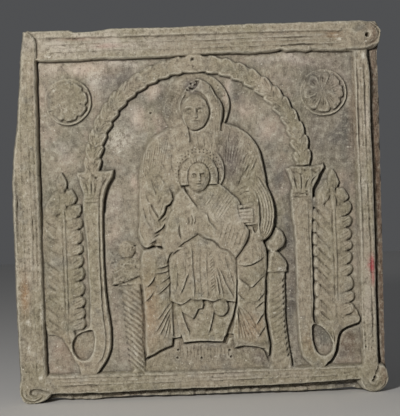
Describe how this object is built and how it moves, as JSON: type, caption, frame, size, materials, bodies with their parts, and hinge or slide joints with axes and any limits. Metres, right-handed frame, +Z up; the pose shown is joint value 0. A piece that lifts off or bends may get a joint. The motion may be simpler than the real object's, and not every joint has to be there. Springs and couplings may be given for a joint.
{
  "type": "stone relief panel",
  "caption": "Square stone wall relief of an enthroned mother with a child under a leafy arch, inside a ridged frame with scrolled corners.",
  "frame": {"origin": "middle of the flat back face, where the panel lies against its wall", "axes": "+Z up the panel, +X to the viewer's right when facing the carving, +Y into the wall, the carving faces -Y"},
  "size_m": [0.6028, 0.0756, 0.6],
  "materials": {
    "stone": "weathered, matt, fine-grained"
  },
  "bodies": {
    "root": {"relief_slab": "stone"}
  },
  "joints": []
}
